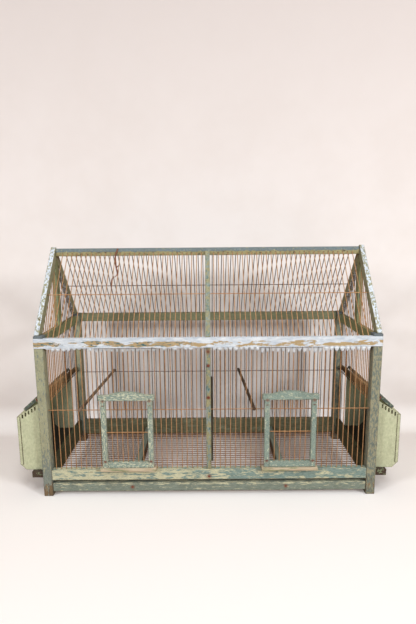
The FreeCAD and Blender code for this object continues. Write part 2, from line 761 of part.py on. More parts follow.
def lid_angle():
    """Fall of a closed lid, whose underside rests just over the sloping edges of the box."""
    rest_height = value(f"{hopper_wall_top} - lid_rest_reach * {hopper_slope} + lid_rest_gap")
    run = value("lid_rest_reach - lid_hinge_offset")
    fall = value(hinge_height) - rest_height
    return math.atan2(fall, run) - math.asin(value("lid_thickness / 2") / math.hypot(run, fall))


def hopper_lid(side_name, side, pin_bore):
    """Wooden flap that hangs on its pin at the cage and slopes down over the box."""
    label = f"{side_name}_hopper_lid"
    body = doc.addObject("PartDesign::Body", label)
    blank = body.newObject("PartDesign::AdditiveBox", label + "_blank")
    bind(blank, "Length", "lid_width")
    bind(blank, "Width", f"{hopper_length} + 2 * lid_end_overhang")
    bind(blank, "Height", "lid_thickness")
    low_x = "-lid_hinge_margin" if side > 0 else "lid_hinge_margin - lid_width"
    bind(blank, "Placement.Base.x", low_x)
    bind(blank, "Placement.Base.z", "-lid_thickness / 2")
    soften(body, blank, label)
    low_y = value(f"{hopper_front} - lid_end_overhang")
    place = vector(side * value(hinge_reach), low_y, value(hinge_height))
    fall = FreeCAD.Rotation(vector(0, 1, 0), side * math.degrees(lid_angle()))
    body.Placement = FreeCAD.Placement(place, fall)
    nodes[label] = body
    cut(label, pin_bore)


def lid_pin(side_name, side):
    """Wire pin bent to a long U that carries the lid.

    Its legs slant down to the cage, where they are driven into the post and the hinge board.
    """
    bend = value("pin_bend")
    turn = bend * (1 - math.sqrt(0.5))
    leg = vector(-side * value("lid_hinge_offset + pin_embed"), 0, -value("pin_leg_drop"))
    inwards = leg * (1 / leg.Length)
    clear = value("lid_end_overhang + pin_end_gap + pin_bend")
    ends = ((value(hopper_front) - clear, vector(0, 1, 0)),
            (value(hopper_back) + clear, vector(0, -1, 0)))
    halves = []
    for y, along in ends:
        corner = vector(side * value(hinge_reach), y, value(hinge_height))
        halves.append([corner + leg,
                       corner + inwards * bend,
                       corner + (inwards + along) * turn,
                       corner + along * bend])
    near, far = halves
    path = Part.Wire([Part.makeLine(near[0], near[1]),
                      Part.Arc(near[1], near[2], near[3]).toShape(),
                      Part.makeLine(near[3], far[3]),
                      Part.Arc(far[3], far[2], far[1]).toShape(),
                      Part.makeLine(far[1], far[0])])
    radius = value("pin_diameter / 2")
    bore = radius + value("pin_bore_gap")
    section = Part.Wire([Part.makeCircle(radius, near[0], inwards)])
    label = f"{side_name}_lid_pin"
    nodes[label] = feature(label, [path.makePipeShell([section], True, False)])
    legs = [(near[0], near[1]), (far[0], far[1])]
    leg_bores = bores(f"{side_name}_pin_leg_bores", legs, bore, wire_end_gap)
    return leg_bores, bores(f"{side_name}_pin_bore", [(near[3], far[3])], bore, bend)


# Feeders: a box with its block and lid at each end, and the board over the opening that carries the lid's pin
hopper_slope = "(hopper_top_drop / hopper_reach)"
hopper_seam_foot = "(hopper_underside + hopper_chamfer_rise)"
hopper_outer_top = f"({hopper_wall_top} - hopper_top_drop)"
strip_depth = f"sheet_thickness * sqrt(1 + {hopper_slope} ^ 2)"
for side_name, side in SIDES.items():
    board_front_top = "end_level_wire_height + hinge_board_front_height"
    board_back_top = "end_level_wire_height + hinge_board_back_height"
    shaped_timber(f"{side_name}_hinge_board", "YZ_Plane",
                  [(signed(-1, side_bay_edge), "end_level_wire_height"),
                   (side_bay_edge, "end_level_wire_height"),
                   (side_bay_edge, board_back_top),
                   (signed(-1, side_bay_edge), board_front_top)],
                  "hinge_board_thickness",
                  (signed(side, f"{half_width} - hinge_board_thickness / 2"), "0", "0"))
    low_x = half_width + (" + block_reach" if side < 0 else "")
    timber(f"{side_name}_hopper_block",
           (signed(side, low_x), f"block_front_inset - {half_depth}", "hopper_underside - block_height"),
           ("block_reach", "block_depth", "block_height"))
    cut(hopper_box(side_name, side), hopper_slits(side_name, side))
    leg_bores, pin_bore = lid_pin(side_name, side)
    cut(f"front_{side_name}_post", leg_bores)
    cut(f"{side_name}_hinge_board", leg_bores)
    hopper_lid(side_name, side, pin_bore)


def headed_pin(place, head_diameter, head_height, diameter, length):
    """A nail or screw blank driven towards the back, with its head on the front face."""
    back = vector(0, 1, 0)
    head = Part.makeCylinder(head_diameter / 2, head_height, place - back * head_height, back)
    rim = min(head.Edges, key=lambda edge: edge.CenterOfMass.y)
    head = head.makeFillet(head_height / 2, [rim])
    return head.fuse(Part.makeCylinder(diameter / 2, length, place, back)).Solids[0]


def screw(height):
    """A round-headed screw in the face of the stile, with a slot across its head."""
    face = vector(0, value(f"{front_wire_y} - stile_thickness / 2"), height)
    blank = headed_pin(face, *[value(name) for name in ("screw_head_diameter", "screw_head_height",
                                                        "screw_diameter", "screw_length")])
    width = value("screw_slot_width")
    depth = value("screw_slot_depth")
    reach = value("screw_head_diameter")
    front = face.y - value("screw_head_height")
    slot = Part.makeBox(2 * reach, depth + width, width, vector(-reach, front - width, height - width / 2))
    return blank.cut(slot).Solids[0]


def nail(place, length_name):
    return headed_pin(place, *[value(name) for name in ("nail_head_diameter", "nail_head_height",
                                                        "nail_diameter", length_name)])


# Fasteners that show in the face of the front
stile_face = value(f"{front_wire_y} - stile_thickness / 2")
rail_face = value(rail_front)
screw_heights = [value(f"{eave_underside} - screw_high_drop - screw_spacing"),
                 value(f"{eave_underside} - screw_high_drop")]
nodes["stile_screws"] = feature("stile_screws", [screw(height) for height in screw_heights])
joist_nail_height = value("lower_rail_underside + lower_rail_height / 2")
nails = [nail(vector(0, stile_face, value(f"{eave_underside} - stile_tack_drop")), "tack_length"),
         nail(vector(0, rail_face, value("bottom_rail_underside + rail_tack_rise")), "tack_length")]
for side in SIDES.values():
    nails.append(nail(vector(side * value("joist_offset"), rail_face, joist_nail_height), "nail_length"))
nodes["frame_nails"] = feature("frame_nails", nails)
cut("front_centre_stile", nodes["stile_screws"], nodes["frame_nails"])
cut("divider_batten", nodes["stile_screws"])
cut("front_bottom_rail", nodes["frame_nails"])
cut("front_lower_rail", nodes["frame_nails"])
for side_name in SIDES:
    cut(f"{side_name}_floor_joist", nodes["frame_nails"])

# Name, check and write every sub-part
doc.removeObject(probe.Name)
doc.recompute()
for thing in doc.Objects:
    if "Invalid" in thing.State or "Error" in thing.State:
        raise ValueError(f"{thing.Name} did not build: {thing.State}")
os.makedirs("parts", exist_ok=True)
for label, thing in nodes.items():
    for other in doc.Objects:
        if other.Label == label and other is not thing:
            other.Label = label + "_blank"
    thing.Label = label
    if thing.Shape.isNull() or not thing.Shape.isValid():
        raise ValueError(f"{label} has no valid shape")
    thing.Shape.exportStep(f"parts/{label}.step")
    print(label, len(thing.Shape.Solids), "solids", round(thing.Shape.Volume), "cubic mm")
print(len(nodes), "nodes")
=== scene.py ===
# %% [markdown]
# # A painted bird cage
#
# This lesson dresses a finished bird cage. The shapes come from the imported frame, so the work
# here is mostly finishes: paint that has been laid on coat after coat and has chipped since,
# wires that have rusted, and bare timber that has gone grey. Two small things that only the eye
# needs are modelled after that, and then the cage is lit and looked at.

# %% Load the frame
import math
import random

import bpy
from mathutils import Matrix, Vector


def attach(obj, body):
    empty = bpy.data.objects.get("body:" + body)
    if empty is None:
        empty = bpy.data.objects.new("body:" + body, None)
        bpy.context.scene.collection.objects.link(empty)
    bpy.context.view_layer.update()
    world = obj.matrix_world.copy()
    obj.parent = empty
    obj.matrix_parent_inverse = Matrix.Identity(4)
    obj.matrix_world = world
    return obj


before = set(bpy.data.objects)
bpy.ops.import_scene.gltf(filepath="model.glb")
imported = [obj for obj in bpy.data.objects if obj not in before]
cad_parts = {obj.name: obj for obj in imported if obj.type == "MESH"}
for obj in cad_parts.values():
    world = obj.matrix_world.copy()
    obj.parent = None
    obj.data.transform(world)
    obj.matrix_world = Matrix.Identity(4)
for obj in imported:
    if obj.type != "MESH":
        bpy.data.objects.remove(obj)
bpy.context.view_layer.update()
MM = 0.001

# %% [markdown]
# ## Helpers for materials
#
# Colours are written as sRGB hex codes, but a shader works in linear light, so one function
# converts them. Another one adds a node, sets it up and wires its inputs. With it a material
# reads as a list of steps. The last two hang a finished material on the pieces of the cage.

# %% Colour and node helpers
def colour(code):
    """The linear colour of an sRGB hex code."""
    channels = [int(code[start:start + 2], 16) / 255 for start in (1, 3, 5)]
    linear = [c / 12.92 if c <= 0.04045 else ((c + 0.055) / 1.055) ** 2.4 for c in channels]
    return (*linear, 1.0)


def add(tree, kind, inputs, **settings):
    """A new node with its settings made and its inputs set or linked."""
    node = tree.nodes.new("ShaderNode" + kind)
    for name, setting in settings.items():
        setattr(node, name, setting)
    for socket, source in inputs.items():
        if isinstance(source, bpy.types.NodeSocket):
            tree.links.new(source, node.inputs[socket])
        else:
            node.inputs[socket].default_value = source
    return node


def ramp(tree, value, low, high, start=0.0, end=1.0, **settings):
    """A value that goes from start to end while another goes from low to high, and stays there."""
    limits = {"Value": value, "From Min": low, "From Max": high, "To Min": start, "To Max": end}
    return add(tree, "MapRange", limits, **settings).outputs[0]


def blend(tree, share, first, second):
    """The second colour over the first by share."""
    return add(tree, "Mix", {0: share, 6: first, 7: second}, data_type="RGBA").outputs[2]


def start_material(name):
    """An empty material and the place in the cage that it is looked up at."""
    material = bpy.data.materials.new(name)
    material.use_nodes = True
    tree = material.node_tree
    tree.nodes.clear()
    place = add(tree, "TexCoord", {}).outputs["Object"]
    return material, tree, place


def dress(slot, material):
    """Gives the material to every node of the slot."""
    count = 0
    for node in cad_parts.values():
        for holder in node.material_slots:
            if holder.material and holder.material.name == slot:
                holder.material = material
                count += 1
    print(slot, "->", material.name, "on", count, "nodes")


def dress_piece(piece, material):
    """Gives the material to one node, in place of what its slot would get."""
    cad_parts[piece].material_slots[0].material = material
    print(piece, "->", material.name)


print("a mid grey in linear light:", round(colour("#808080")[0], 3))

# %% [markdown]
# ## Coats of paint
#
# Old paint is a stack: bare wood, one or two earlier colours, and the last coat. Each coat here is
# broken by its own noise, and where it is gone the one below shows. Chips run along the grain,
# because the paint lifts with the wood fibres, so the noise is drawn out along the timber.

# %% Noise and coats
SEED_STEP = (1.0, 0.7, 1.3)    # how far a seed of 1 moves the noise along X, Y and Z (m)
COAT_SEED = 2.1                # added to the seed for each further coat
TONE_SEED = 5.3                # added to the seed for the tones in a coat
NOISE_ROUGHNESS = 0.65
NOISE_MIDDLE = (0.35, 0.65)    # levels of the noise between which two tones blend
TONE_MIDDLE = (0.38, 0.62)     # the same for the two tones of a coat
TONE_SHARE = 0.35              # size of a tone's patches as a share of the coat's
COVER_SPAN = 0.4               # levels of the noise between no cover and whole cover
CHIP_SOFTNESS = 0.012          # levels over which the edge of a chip is blurred
COAT_RELIEF = 0.8              # what a coat adds to the relief


def noise(tree, place, size, seed, detail=6.0):
    """Cloudy noise with patches of about size millimetres. Each seed looks at another place."""
    shift = [seed * step for step in SEED_STEP]
    moved = add(tree, "VectorMath", {0: place, 1: shift}, operation="ADD").outputs[0]
    pattern = {"Vector": moved, "Scale": 1 / (size * MM), "Detail": detail,
               "Roughness": NOISE_ROUGHNESS}
    return add(tree, "TexNoise", pattern).outputs["Fac"]


def drawn_out(tree, place, grain, stretch):
    """The place, shrunk along the grain, so that a pattern on it comes out stretched."""
    scale = [1 / stretch if axis == grain else 1.0 for axis in "XYZ"]
    return add(tree, "Mapping", {"Vector": place, "Scale": scale}).outputs[0]


def along(tree, place, axis):
    """Millimetres along X, Y or Z, or a measure of where a face looks.

    Outward is above 0 on faces that look away from the middle, to the left or the right.
    Outside counts faces that look down as well, and faces that look up against it.
    """
    if axis in ("outward", "outside"):
        normal = add(tree, "NewGeometry", {}).outputs["Normal"]
        place = add(tree, "VectorMath", {0: place, 1: normal}, operation="MULTIPLY").outputs[0]
    parts = add(tree, "SeparateXYZ", {0: place}).outputs
    if axis == "outside":
        part = add(tree, "Math", {0: parts["X"], 1: parts["Z"]}, operation="SUBTRACT").outputs[0]
    else:
        part = parts["X" if axis == "outward" else axis]
    return add(tree, "Math", {0: part, 1: 1 / MM}, operation="MULTIPLY").outputs[0]


def coat(tones, cover, size, rise=None):
    """A coat of a light and a dark tone, its cover and the size of its patches (mm).

    Rise is an axis, two places on it (mm) and what the cover gains from the first to the second.
    """
    return {"tones": tones, "cover": cover, "size": size, "rise": rise}


def covered(tree, place, one, seed, loss):
    """Where a coat still holds: 1 inside its patches, 0 where it has gone."""
    level = noise(tree, place["stretched"], one["size"], seed)
    level = add(tree, "Math", {0: level, 1: loss}, operation="SUBTRACT").outputs[0]
    if one["rise"]:
        axis, low, high, gain = one["rise"]
        position = along(tree, place["plain"], axis)
        more = ramp(tree, position, low, high, 0.0, COVER_SPAN * gain, interpolation_type="SMOOTHSTEP")
        level = add(tree, "Math", {0: level, 1: more}, operation="ADD").outputs[0]
    threshold = 0.5 + COVER_SPAN * (0.5 - one["cover"])
    return ramp(tree, level, threshold - CHIP_SOFTNESS, threshold + CHIP_SOFTNESS)


def lay_coats(tree, place, surface, relief, coats, seed, loss):
    """The coats over the surface, from the oldest to the last, and the relief that they build up."""
    for number, one in enumerate(coats):
        here = covered(tree, place, one, seed + COAT_SEED * number, loss)
        tone = noise(tree, place["stretched"], TONE_SHARE * one["size"], seed + TONE_SEED + number)
        light, dark = one["tones"]
        paint = blend(tree, ramp(tree, tone, *TONE_MIDDLE), colour(light), colour(dark))
        surface = blend(tree, here, surface, paint)
        raised = {0: here, 1: COAT_RELIEF, 2: relief}
        relief = add(tree, "Math", raised, operation="MULTIPLY_ADD").outputs[0]
    return surface, relief


print("a coat is", coat(("#FFFFFF", "#CCCCCC"), 0.5, 10))

# %% [markdown]
# ## Wear, rust, dirt and painted shade
#
# Paint goes first at the edges, and dirt settles there too. A normal that has been rounded off
# differs from the true one only near an edge, so the two together find it. Corners and hollows
# get dirt that no cloth reaches, and they are darkened with painted shade as well. Little light gets
# in there, and that is how they are found.

# %% Edges, rust, dirt and painted shade
EDGE_RADIUS = 2.5              # millimetres that count as an edge
EDGE_DIRT_RANGE = (0.99, 0.8)  # agreement of the normals, from clean to dirty
EDGE_DIRT_SHARE = 0.7
# The corner ramp runs from clean to full painted shade and dirt
HOLLOW_SHADE_AND_DIRT_RANGE = (0.7, 0.2)      # light that gets in, from clean to dirty
STAIN_SEED = 7.7
STAIN_BLUR = 3.0
STAIN_STRENGTH = 0.95
CLOUD_SEED = 9.1
CLOUD_SIZE = 45.0
CLOUD_DETAIL = 3.0
CLOUD_RANGE = (0.4, 0.7)       # levels of the noise, from clean to dirty
RUST = "#7A4027"
# Colour of the painted shade and dirt in corners and hollows
CORNER_SHADE_AND_DIRT = "#2B2720"
EDGE_DIRT = "#3B362B"
CLOUD_DIRT = "#4E4A3C"


def edge_facing(tree):
    """How well the rounded normal agrees with the true one: 1 on a flat face, less at an edge."""
    true_normal = add(tree, "NewGeometry", {}).outputs["Normal"]
    rounded = add(tree, "Bevel", {"Radius": EDGE_RADIUS * MM}, samples=4).outputs[0]
    both = {0: rounded, 1: true_normal}
    return add(tree, "VectorMath", both, operation="DOT_PRODUCT").outputs["Value"]


def rust_stains(tree, place, surface, stains, seed):
    """Rust that has run out around iron. Each stain is a place and a reach (mm)."""
    for *middle, reach in stains:
        away = add(tree, "VectorMath", {0: place, 1: Vector(middle) * MM}, operation="DISTANCE")
        blur = noise(tree, place, STAIN_BLUR, seed + STAIN_SEED)
        spread = add(tree, "Math", {0: blur, 1: 2.0 * reach * MM}, operation="MULTIPLY").outputs[0]
        rust = ramp(tree, away.outputs["Value"], 0.0, spread, STAIN_STRENGTH, 0.0)
        surface = blend(tree, rust, surface, colour(RUST))
    return surface


def shade_and_soil(tree, place, surface, facing, edge, dirt, seed, hollow_shade_and_dirt, reach):
    """Painted shade and dirt in corners and hollows, dirt along the edges and in broad clouds on the
    rest.
    """
    # Painted shade, together with dirt, where little light gets in
    openness = add(tree, "AmbientOcclusion", {"Distance": reach * MM}, samples=8).outputs["AO"]
    corner_shade_and_dirt = ramp(tree, openness, *HOLLOW_SHADE_AND_DIRT_RANGE, end=hollow_shade_and_dirt)
    surface = blend(tree, corner_shade_and_dirt, surface, colour(CORNER_SHADE_AND_DIRT))
    rim = ramp(tree, facing, *EDGE_DIRT_RANGE, end=EDGE_DIRT_SHARE * edge)
    surface = blend(tree, rim, surface, colour(EDGE_DIRT))
    cloud = noise(tree, place, CLOUD_SIZE, seed + CLOUD_SEED, CLOUD_DETAIL)
    veil = ramp(tree, cloud, *CLOUD_RANGE, end=dirt)
    return blend(tree, veil, surface, colour(CLOUD_DIRT))


print("rust in linear light:", [round(c, 3) for c in colour(RUST)[:3]])

# %% [markdown]
# ## The worn paint recipe
#
# All the painted and bare timber is one recipe with other numbers: a base with fibres, coats,
# rust and dirt, in the order in which they came, and painted shade in corners and hollows. Whole
# paint lies higher than bare wood and is smoother, so the same relief drives the bumps and the gloss.

# %% Worn paint
FIBRE_SIZE = 2.2
FIBRE_STRETCH = 18
EDGE_LOSS = 0.3
EDGE_LOSS_RANGE = (0.995, 0.86)    # agreement of the normals, from whole to worn
RELIEF_RANGE = (0.4, 1.6)          # relief, from bare wood to whole paint
PAINT_THICKNESS = 0.4
ROUGH_WOOD = 0.85
SMOOTH_PAINT = 0.55


def worn_paint(name, base, coats, grain="Z", stretch=4.0, edge=0.5, dirt=0.25, stains=(), seed=1.0,
               hollow_shade_and_dirt=0.6, reach=40.0):
    """Coats of paint on two tones, broken along the grain, rubbed off at the edges, with dirt and
    painted shade in hollows.
    """
    material, tree, plain = start_material(name)
    place = {"plain": plain, "stretched": drawn_out(tree, plain, grain, stretch)}
    fibres = noise(tree, drawn_out(tree, plain, grain, FIBRE_STRETCH), FIBRE_SIZE, seed)
    surface = blend(tree, ramp(tree, fibres, *NOISE_MIDDLE), colour(base[0]), colour(base[1]))

    facing = edge_facing(tree)
    loss = ramp(tree, facing, *EDGE_LOSS_RANGE, end=EDGE_LOSS * edge)
    surface, relief = lay_coats(tree, place, surface, fibres, coats, seed, loss)
    surface = rust_stains(tree, plain, surface, stains, seed)
    # Dirt, and painted shade in the corners and hollows
    surface = shade_and_soil(tree, plain, surface, facing, edge, dirt, seed, hollow_shade_and_dirt, reach)

    roughness = ramp(tree, relief, *RELIEF_RANGE, ROUGH_WOOD, SMOOTH_PAINT)
    bumps = {"Height": relief, "Strength": 0.5, "Distance": PAINT_THICKNESS * MM}
    normal = add(tree, "Bump", bumps).outputs[0]
    finish = {"Base Color": surface, "Roughness": roughness, "Normal": normal, "IOR": 1.5}
    shader = add(tree, "BsdfPrincipled", finish)
    add(tree, "OutputMaterial", {"Surface": shader.outputs[0]})
    return material


print("worn paint takes a base, coats and a grain direction")

# %% [markdown]
# ## The white eaves and gables
#
# The eave rail and the edges of the gables face the room, and somebody freshened them with a pale
# blue-white over the older paint. On the rail it has flaked off in a ragged band along the middle,
# down to tan wood, and stays thick near the top and along the lower edge.

# %% Paint of the eaves, gables and ridge
TAN_WOOD = ("#BCA880", "#A08A63")
DARK_WOOD = ("#6B5F4A", "#4B4334")
WHITE = ("#E0EAF1", "#BACAD8")
OLIVE = ("#A9A274", "#8A845C")
TEAL = ("#4F787A", "#3B5D60")
SLATE = ("#75838A", "#596870")
TOWARDS_THE_LEFT = ("X", 60, -100, 0.4)
TOP_OF_THE_RAIL = ("Z", 391, 397.5, 0.7)
FOOT_OF_THE_RAIL = ("Z", 383, 377, 0.6)
TOP_OF_THE_RIDGE = ("Z", 592, 600, 1.1)
OUTER_FACES = ("outward", -150, -20, 0.92)

# Cool white with torn edges, and a warm tan band where it is gone
dress("eave_paint", worn_paint(
    "brushed white paint flaking off tan softwood", TAN_WOOD,
    [coat(TEAL, 0.0, 4, TOWARDS_THE_LEFT), coat(WHITE, 0.44, 19, TOP_OF_THE_RAIL),
     coat(WHITE, 0.3, 12, FOOT_OF_THE_RAIL)],
    grain="X", stretch=3.0, edge=0.3, dirt=0.1))

# Olive in front and slate on top, a dark line against the wall
dress("ridge_paint", worn_paint(
    "slate paint over olive paint on the ridge", DARK_WOOD,
    [coat(OLIVE, 0.75, 6), coat(("#75868A", "#56676B"), 0.0, 5, TOP_OF_THE_RIDGE),
     coat(("#B9B48C", "#9A966E"), 0.22, 4)],
    grain="X", stretch=1.5, edge=0.6, dirt=0.25, seed=2.0))

# White on the faces that look out, olive on those that look in
dress("rafter_paint", worn_paint(
    "brushed white paint over olive paint on the gable edges", DARK_WOOD,
    [coat(("#A3A384", "#828568"), 0.8, 8), coat(WHITE, -0.35, 5, OUTER_FACES), coat(SLATE, 0.14, 4)],
    grain="Z", stretch=3.0, edge=0.6, dirt=0.15, seed=3.0))

# Dull olive with slate patches, which stays behind the white edges
dress("gable_paint", worn_paint(
    "old olive paint in the gables", DARK_WOOD,
    [coat(("#98A276", "#7C8760"), 0.8, 8), coat(SLATE, 0.25, 8)],
    grain="Z", stretch=3.0, edge=0.6, dirt=0.3, seed=4.0))

# A quiet grey-green that sits back
dress("back_rail_paint", worn_paint(
    "green paint on the back eave rail", DARK_WOOD,
    [coat(("#868B6C", "#6D7358"), 0.92, 8), coat(SLATE, 0.12, 6)],
    grain="X", stretch=5.0, edge=0.8, dirt=0.25, seed=5.0))

# %% [markdown]
# ## The posts
#
# Hands and brooms have rubbed the posts. The left one kept its sage green, the right one went
# blue-grey with olive showing through. The feet stand where the wet is, so the cover of the paint
# falls off towards them and brown wood comes through. The tops got a dab of slate.

# %% Paint of the posts
SAGE = ("#AEAF90", "#949A80")
BLUE_GREY = ("#8C968C", "#6E7B75")
ABOVE_THE_FOOT = ("Z", 5, 60, 0.65)
ABOVE_THE_SPLASHES = ("Z", 30, 150, 0.45)
ABOVE_THE_RIGHT_FOOT = ("Z", 20, 60, 0.4)
TOP_OF_THE_POST = ("Z", 396, 402, 1.2)
post_cap = coat(SLATE, -0.3, 5, TOP_OF_THE_POST)

# Sage with blue-grey chips and a brown foot
dress("left_post_paint", worn_paint(
    "sage paint rubbed through to blue-grey", ("#8A7454", "#5E4F3C"),
    [coat(BLUE_GREY, 0.3, 4, ABOVE_THE_FOOT), coat(SAGE, 0.22, 4, ABOVE_THE_SPLASHES), post_cap],
    grain="Z", stretch=3.0, edge=0.8, dirt=0.2, seed=6.0))

# Blue-grey with olive patches, darker than the left
dress("right_post_paint", worn_paint(
    "blue-grey paint rubbed through to olive", ("#94704E", "#66503B"),
    [coat(("#A3A286", "#8B8C74"), 0.55, 4, ABOVE_THE_RIGHT_FOOT),
     coat(("#7C877E", "#5E6C65"), 0.5, 4), post_cap],
    grain="Z", stretch=3.0, edge=0.8, dirt=0.2, seed=7.0))

# %% [markdown]
# ## The rails, stile and boards
#
# The long rails at the bottom were brushed lengthwise, so their colours lie in long streaks:
# yellow-green under blue-green. The middle stile and the rib of the roof carry every colour the
# cage has had. The boards stand in the shade and are the darkest green, and the end boards get
# painted shade on top of that.

# %% Paint of the rails, stile and boards
LIME = ("#D2D3B4", "#B8BC9C")
SEA = ("#8FA69F", "#66807A")
TOWARDS_THE_RIGHT = ("X", -250, 300, 0.3)
LOWER_HALF = ("Z", 31, 24, 0.2)
BOTTOM_NAIL = (0, -165, 50, 9)
LOWER_NAILS = [(190, -165, 23, 8), (-190, -165, 23, 8)]
STILE_IRON = [(0, -164, 366, 10), (0, -164, 332, 7), (0, -164, 253, 7)]

# Long streaks, pale at the left and bluer towards the right
dress("bottom_rail_paint", worn_paint(
    "blue-green paint streaked over yellow-green on the bottom rail", ("#8C7756", "#625540"),
    [coat(LIME, 0.88, 4), coat(SEA, 0.38, 4.5, TOWARDS_THE_RIGHT)],
    grain="X", stretch=5.0, edge=0.9, dirt=0.15, stains=[BOTTOM_NAIL], seed=8.0))

# The same streaks, but duller, and darker along the lower half
dress("lower_rail_paint", worn_paint(
    "blue-green paint over yellow-green on the lower rail", ("#7C6B50", "#574B3A"),
    [coat(LIME, 0.85, 4), coat(("#8B988C", "#6C7B70"), 0.55, 4.5, LOWER_HALF)],
    grain="X", stretch=5.0, edge=0.9, dirt=0.2, stains=LOWER_NAILS, seed=9.0))

# Olive, grey and teal patches, and rust round the iron in the stile
dress("stile_paint", worn_paint(
    "many coats on the middle stile", DARK_WOOD,
    [coat(("#A5A27E", "#868362"), 0.85, 7), coat(("#909E98", "#70817A"), 0.44, 7), coat(TEAL, 0.3, 6)],
    grain="Z", stretch=2.5, edge=0.5, dirt=0.15, stains=STILE_IRON, seed=10.0))

# Dark enough to read as a line of shade beside the stile
dress_piece("divider_batten", worn_paint(
    "dark worn paint on the batten", ("#4E4538", "#3A332A"),
    [coat(("#5F665A", "#4C5349"), 0.4, 7)], seed=21.0))

# A dull dark green that frames the floor
dress("board_paint", worn_paint(
    "dark green paint on the boards", DARK_WOOD,
    [coat(("#848569", "#6A6B53"), 0.9, 12), coat(("#949A80", "#7A8068"), 0.3, 14)],
    grain="X", stretch=4.0, edge=0.6, dirt=0.35, seed=11.0))

# Darker still at the ends, under the feeders' openings: painted shade
end_paint_in_shade = worn_paint(
    "dark green paint on the end boards", ("#453C2E", "#322B21"),
    [coat(("#565A40", "#40442F"), 0.85, 10), coat(("#6B7058", "#555A45"), 0.2, 12)],
    grain="Y", stretch=4.0, edge=0.6, dirt=0.35, seed=24.0)
for side in ("left", "right"):
    dress_piece(f"{side}_end_board", end_paint_in_shade)

# %% [markdown]
# ## The doors and sills
#
# The doors are the prettiest part: a light sea green, speckled where a paler coat under it comes
# through. Each piece is brushed along its own length, and the right door kept more of its last
# coat than the left. The little sills below take all the wear of landing birds and sliding doors
# and are nearly bare.

# %% Paint of the doors and sills
DOOR_MIDDLE = 197
DOOR_FRONT = -171
STAPLE_REACH = 56
STAPLE_HEIGHTS = (93, 248)
STAPLE_RUST = 6
DOOR_WOOD = ("#75684F", "#4F4A3C")
DOORS = (("left", 0.58, 12.0), ("right", 0.76, 32.0))
UPRIGHT_PIECES = ("left_stile", "right_stile")
LEVEL_PIECES = ("crown", "bottom_rail")
door_stains = [(side * DOOR_MIDDLE + turn * STAPLE_REACH, DOOR_FRONT, height, STAPLE_RUST)
               for side in (-1, 1) for turn in (-1, 1) for height in STAPLE_HEIGHTS]

# Pale speckles through sea green, and rust at the staples
for side, cover, seed in DOORS:
    coats = [coat(("#DCE0C8", "#C2CAB0"), 0.9, 4), coat(("#9FB2A8", "#617B72"), cover, 3)]
    for pieces, grain in ((UPRIGHT_PIECES, "Z"), (LEVEL_PIECES, "X")):
        paint = worn_paint(
            f"sea green paint brushed along {grain} on the {side} door", DOOR_WOOD, coats,
            grain=grain, stretch=3.0, edge=0.9, dirt=0.15, stains=door_stains, seed=seed)
        for piece in pieces:
            dress_piece(f"{side}_door_{piece}", paint)

# Bare and pale, the lightest wood of the front
dress("sill_wood", worn_paint(
    "bare sills with green left at the edges", ("#D2C7AE", "#B5A486"),
    [coat(("#A2A582", "#888F6E"), 0.38, 9)],
    grain="X", stretch=5.0, edge=0.2, dirt=0.15, seed=13.0))

# %% [markdown]
# ## The feeders
#
# The feeders are bent from tinned sheet, soldered and painted. Rust starts where the sheet was
# cut, so the edges go brown first. Inside, painted shade makes the green deeper and turns it black
# towards the bottom. One measure of where a face looks tells the inside from the outside. The
# lids are painted wood.

# %% Paint of the feeders and lids
INSIDE_IN_PAINTED_SHADE = ("outside", -20, -60, 1.57)
OUTSIDE = ("outside", -60, -20, 1.57)
DOWN_INTO_PAINTED_SHADE = ("Z", 170, 100, 1.6)

# Pale yellow-green outside; inside, painted shade that deepens the green and goes black below
dress("feeder_paint", worn_paint(
    "yellow-green paint on sheet metal rusting at the edges", ("#7B5236", "#5A3B28"),
    [coat(("#A5B080", "#87936A"), -0.6, 12, INSIDE_IN_PAINTED_SHADE),
     coat(("#2A271F", "#1E1B15"), -0.6, 12, DOWN_INTO_PAINTED_SHADE),
     coat(("#C9D0B0", "#B5BE9C"), -0.6, 14, OUTSIDE)],
    grain="Z", stretch=1.5, edge=1.0, dirt=0.15, seed=14.0, hollow_shade_and_dirt=0.5, reach=150.0))

# Dark blue-green with lighter chips
dress("lid_paint", worn_paint(
    "blue-green paint on the lids", TAN_WOOD,
    [coat(("#8C9A80", "#78876F"), 0.85, 9), coat(("#55665F", "#414F4A"), 0.7, 8)],
    grain="Y", stretch=3.0, edge=0.6, dirt=0.2, seed=15.0))

# %% [markdown]
# ## Bare timber
#
# Joists, hinge boards, blocks and perches were never properly painted. They got splashes of the
# green that was going on next to them, and the rest is softwood gone grey and brown. The blocks
# under the feeders are darkened further with painted shade.

# %% Bare and weathered wood
TOP_OF_THE_JOIST = ("Z", 38, 41, 1.2)

# Brown sides, and a grey-green top where the brush touched
dress("joist_wood", worn_paint(
    "weathered joists with green on top", ("#5F5040", "#463A2E"),
    [coat(("#8A968A", "#707F74"), 0.1, 16, TOP_OF_THE_JOIST)],
    grain="Y", stretch=5.0, edge=0.3, dirt=0.3, seed=16.0))

# Warm wood with brown runs and a few splashes of green
dress("hinge_board_wood", worn_paint(
    "weathered hinge boards with rust runs", ("#AE9A72", "#8C7858"),
    [coat(("#7A5C40", "#5E4430"), 0.2, 9), coat(("#9AA37E", "#828C6A"), 0.36, 16)],
    grain="Y", stretch=4.0, edge=0.3, dirt=0.3, seed=17.0))

# Nearly black with painted shade, so the feeders seem to hang free
dress("block_wood", worn_paint(
    "dark blocks under the feeders", ("#4A382B", "#33261C"),
    [coat(("#7F8C6C", "#6A775A"), 0.3, 12)],
    grain="Y", stretch=3.0, edge=0.4, dirt=0.4, seed=18.0))

